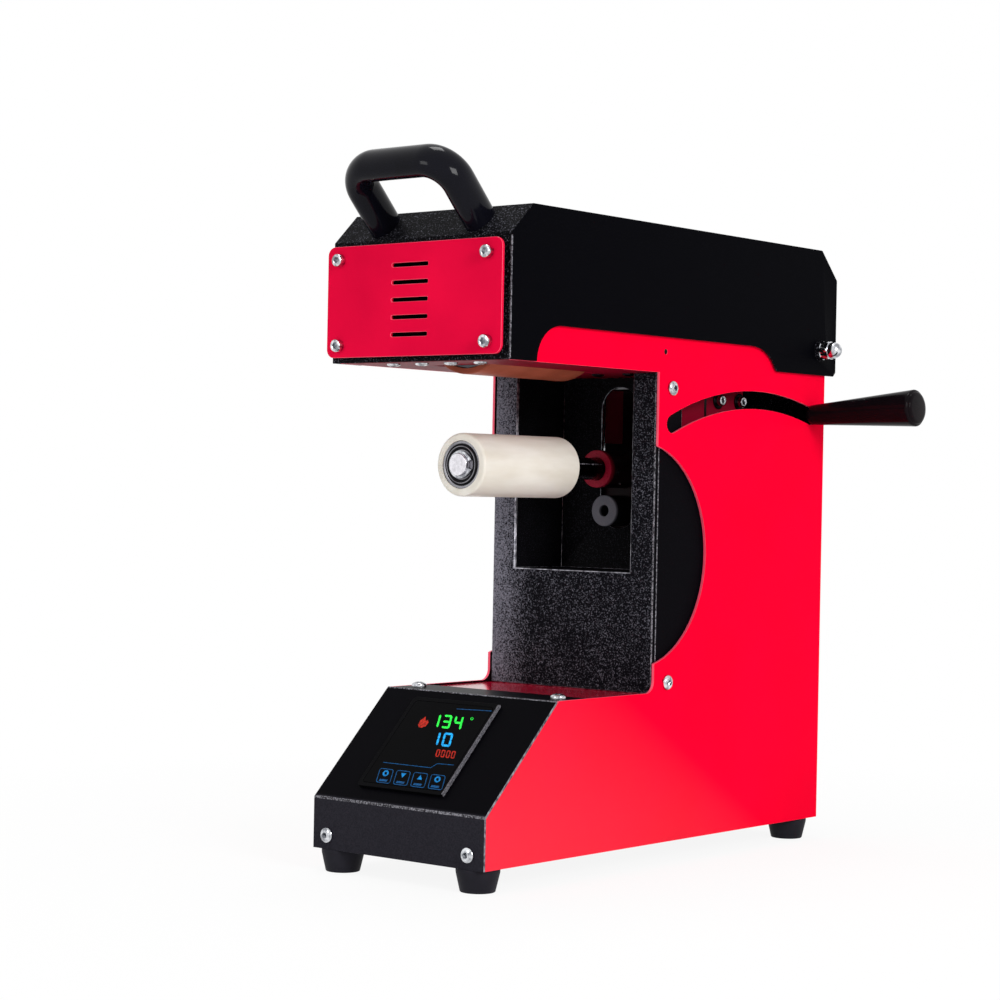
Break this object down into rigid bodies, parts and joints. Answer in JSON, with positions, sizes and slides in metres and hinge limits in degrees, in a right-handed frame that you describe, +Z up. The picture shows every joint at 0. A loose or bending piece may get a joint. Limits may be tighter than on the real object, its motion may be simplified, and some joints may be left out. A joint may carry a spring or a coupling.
{
  "type": "roller mug heat press",
  "caption": "Bench heat press for mugs: a lever and cam raise a mug roller under a motor-turned heated drum in a hinged hood.",
  "frame": {"origin": "on the bench, under the middle of the whole machine's footprint", "axes": "-Y is the operator's side with the control face, +X is the operator's right with the lever grip, +Z is up"},
  "size_m": [0.2646, 0.4254, 0.4815],
  "materials": {
    "red_paint": "gloss",
    "dark_red_paint": "satin",
    "black_paint": "textured",
    "black_gloss": "gloss",
    "black_plastic": "satin",
    "cream_nylon": "satin",
    "brown_coating": "satin",
    "bright_steel": "polished",
    "plain_steel": "machined",
    "black_steel": "black oxide",
    "cast_aluminium": "machined",
    "bearing_bronze": "machined",
    "foot_rubber": "matte",
    "circuit_board": "satin"
  },
  "bodies": {
    "stand": {"acorn_nut_left": "bright_steel", "acorn_nut_right": "bright_steel", "base_pan": "black_paint", "column_front": "black_paint", "control_cover": "black_paint", "controller_housing": "black_plastic", "controller_lens": "black_gloss", "deck_plate": "red_paint", "drum_bearing_front": "plain_steel", "drum_bearing_rear": "plain_steel", "drum_bracket_front": "cast_aluminium", "drum_bracket_rear": "cast_aluminium", "foot_front_left": "foot_rubber", "foot_front_right": "foot_rubber", "foot_rear_left": "foot_rubber", "foot_rear_right": "foot_rubber", "gear_motor": "cast_aluminium", "guide_bracket_lower": "plain_steel", "guide_bracket_upper": "plain_steel", "guide_rod_left": "bright_steel", "guide_rod_right": "bright_steel", "head_floor": "dark_red_paint", "head_stay_left": "dark_red_paint", "head_stay_right": "dark_red_paint", "heater_rod": "plain_steel", "hood_axle": "plain_steel", "lever_bearing_left": "cast_aluminium", "lever_bearing_right": "cast_aluminium", "power_board": "circuit_board", "power_inlet": "black_plastic", "rear_cover": "black_paint", "recess_box": "black_paint", "side_panel_left": "red_paint", "side_panel_right": "red_paint", "switch_body": "black_plastic"},
    "lifting_carriage": {"carriage_block": "dark_red_paint", "cam_plate": "plain_steel", "mug_spindle": "black_steel", "spindle_clip": "black_steel", "locating_bush": "cast_aluminium"},
    "mug_roller_set": {"mug_roller": "cream_nylon", "roller_bearing_front": "plain_steel", "roller_bearing_rear": "plain_steel"},
    "lever_set": {"lever_shaft": "plain_steel", "lever_arm": "black_steel", "lever_grip": "black_gloss", "crank_arm": "black_steel", "cam_roller": "bearing_bronze"},
    "heat_drum": {"drum_sleeve": "brown_coating", "drum_end_front": "plain_steel", "drum_end_rear": "plain_steel", "motor_coupling": "cast_aluminium"},
    "hood": {"hood_shell": "black_paint", "vent_plate": "red_paint", "vent_screw_1": "bright_steel", "vent_screw_2": "bright_steel", "vent_screw_3": "bright_steel", "vent_screw_4": "bright_steel", "hood_handle": "black_gloss"},
    "power_switch_rocker": {"power_rocker": "black_plastic"}
  },
  "joints": [
    {"name": "lever_swing", "type": "hinge", "parent": "stand", "child": "lever_set", "pos_m": [-0.03605, 0.11223, 0.045], "axis": [1, 0, 0], "range_deg": [0, 30]},
    {"name": "carriage_lift", "type": "slide", "parent": "stand", "child": "lifting_carriage", "axis": [0, 0, 1], "range_m": [0, 0.036]},
    {"name": "mug_roller_spin", "type": "hinge", "parent": "lifting_carriage", "child": "mug_roller_set", "pos_m": [-0.03605, -0.08077, 0.2754], "axis": [0, 1, 0], "continuous": true},
    {"name": "heat_drum_spin", "type": "hinge", "parent": "stand", "child": "heat_drum", "pos_m": [-0.03605, -0.07677, 0.374], "axis": [0, 1, 0], "continuous": true},
    {"name": "hood_tilt", "type": "hinge", "parent": "stand", "child": "hood", "pos_m": [-0.03605, 0.19023, 0.3686], "axis": [-1, 0, 0], "range_deg": [0, 20]},
    {"name": "power_switch_tip", "type": "hinge", "parent": "stand", "child": "power_switch_rocker", "pos_m": [-0.03605, 0.19923, 0.052], "axis": [1, 0, 0], "range_deg": [0, 16]}
  ],
  "couplings": [
    {"joint": "carriage_lift", "follows": "lever_swing", "m_per_rad": 0.06875}
  ]
}
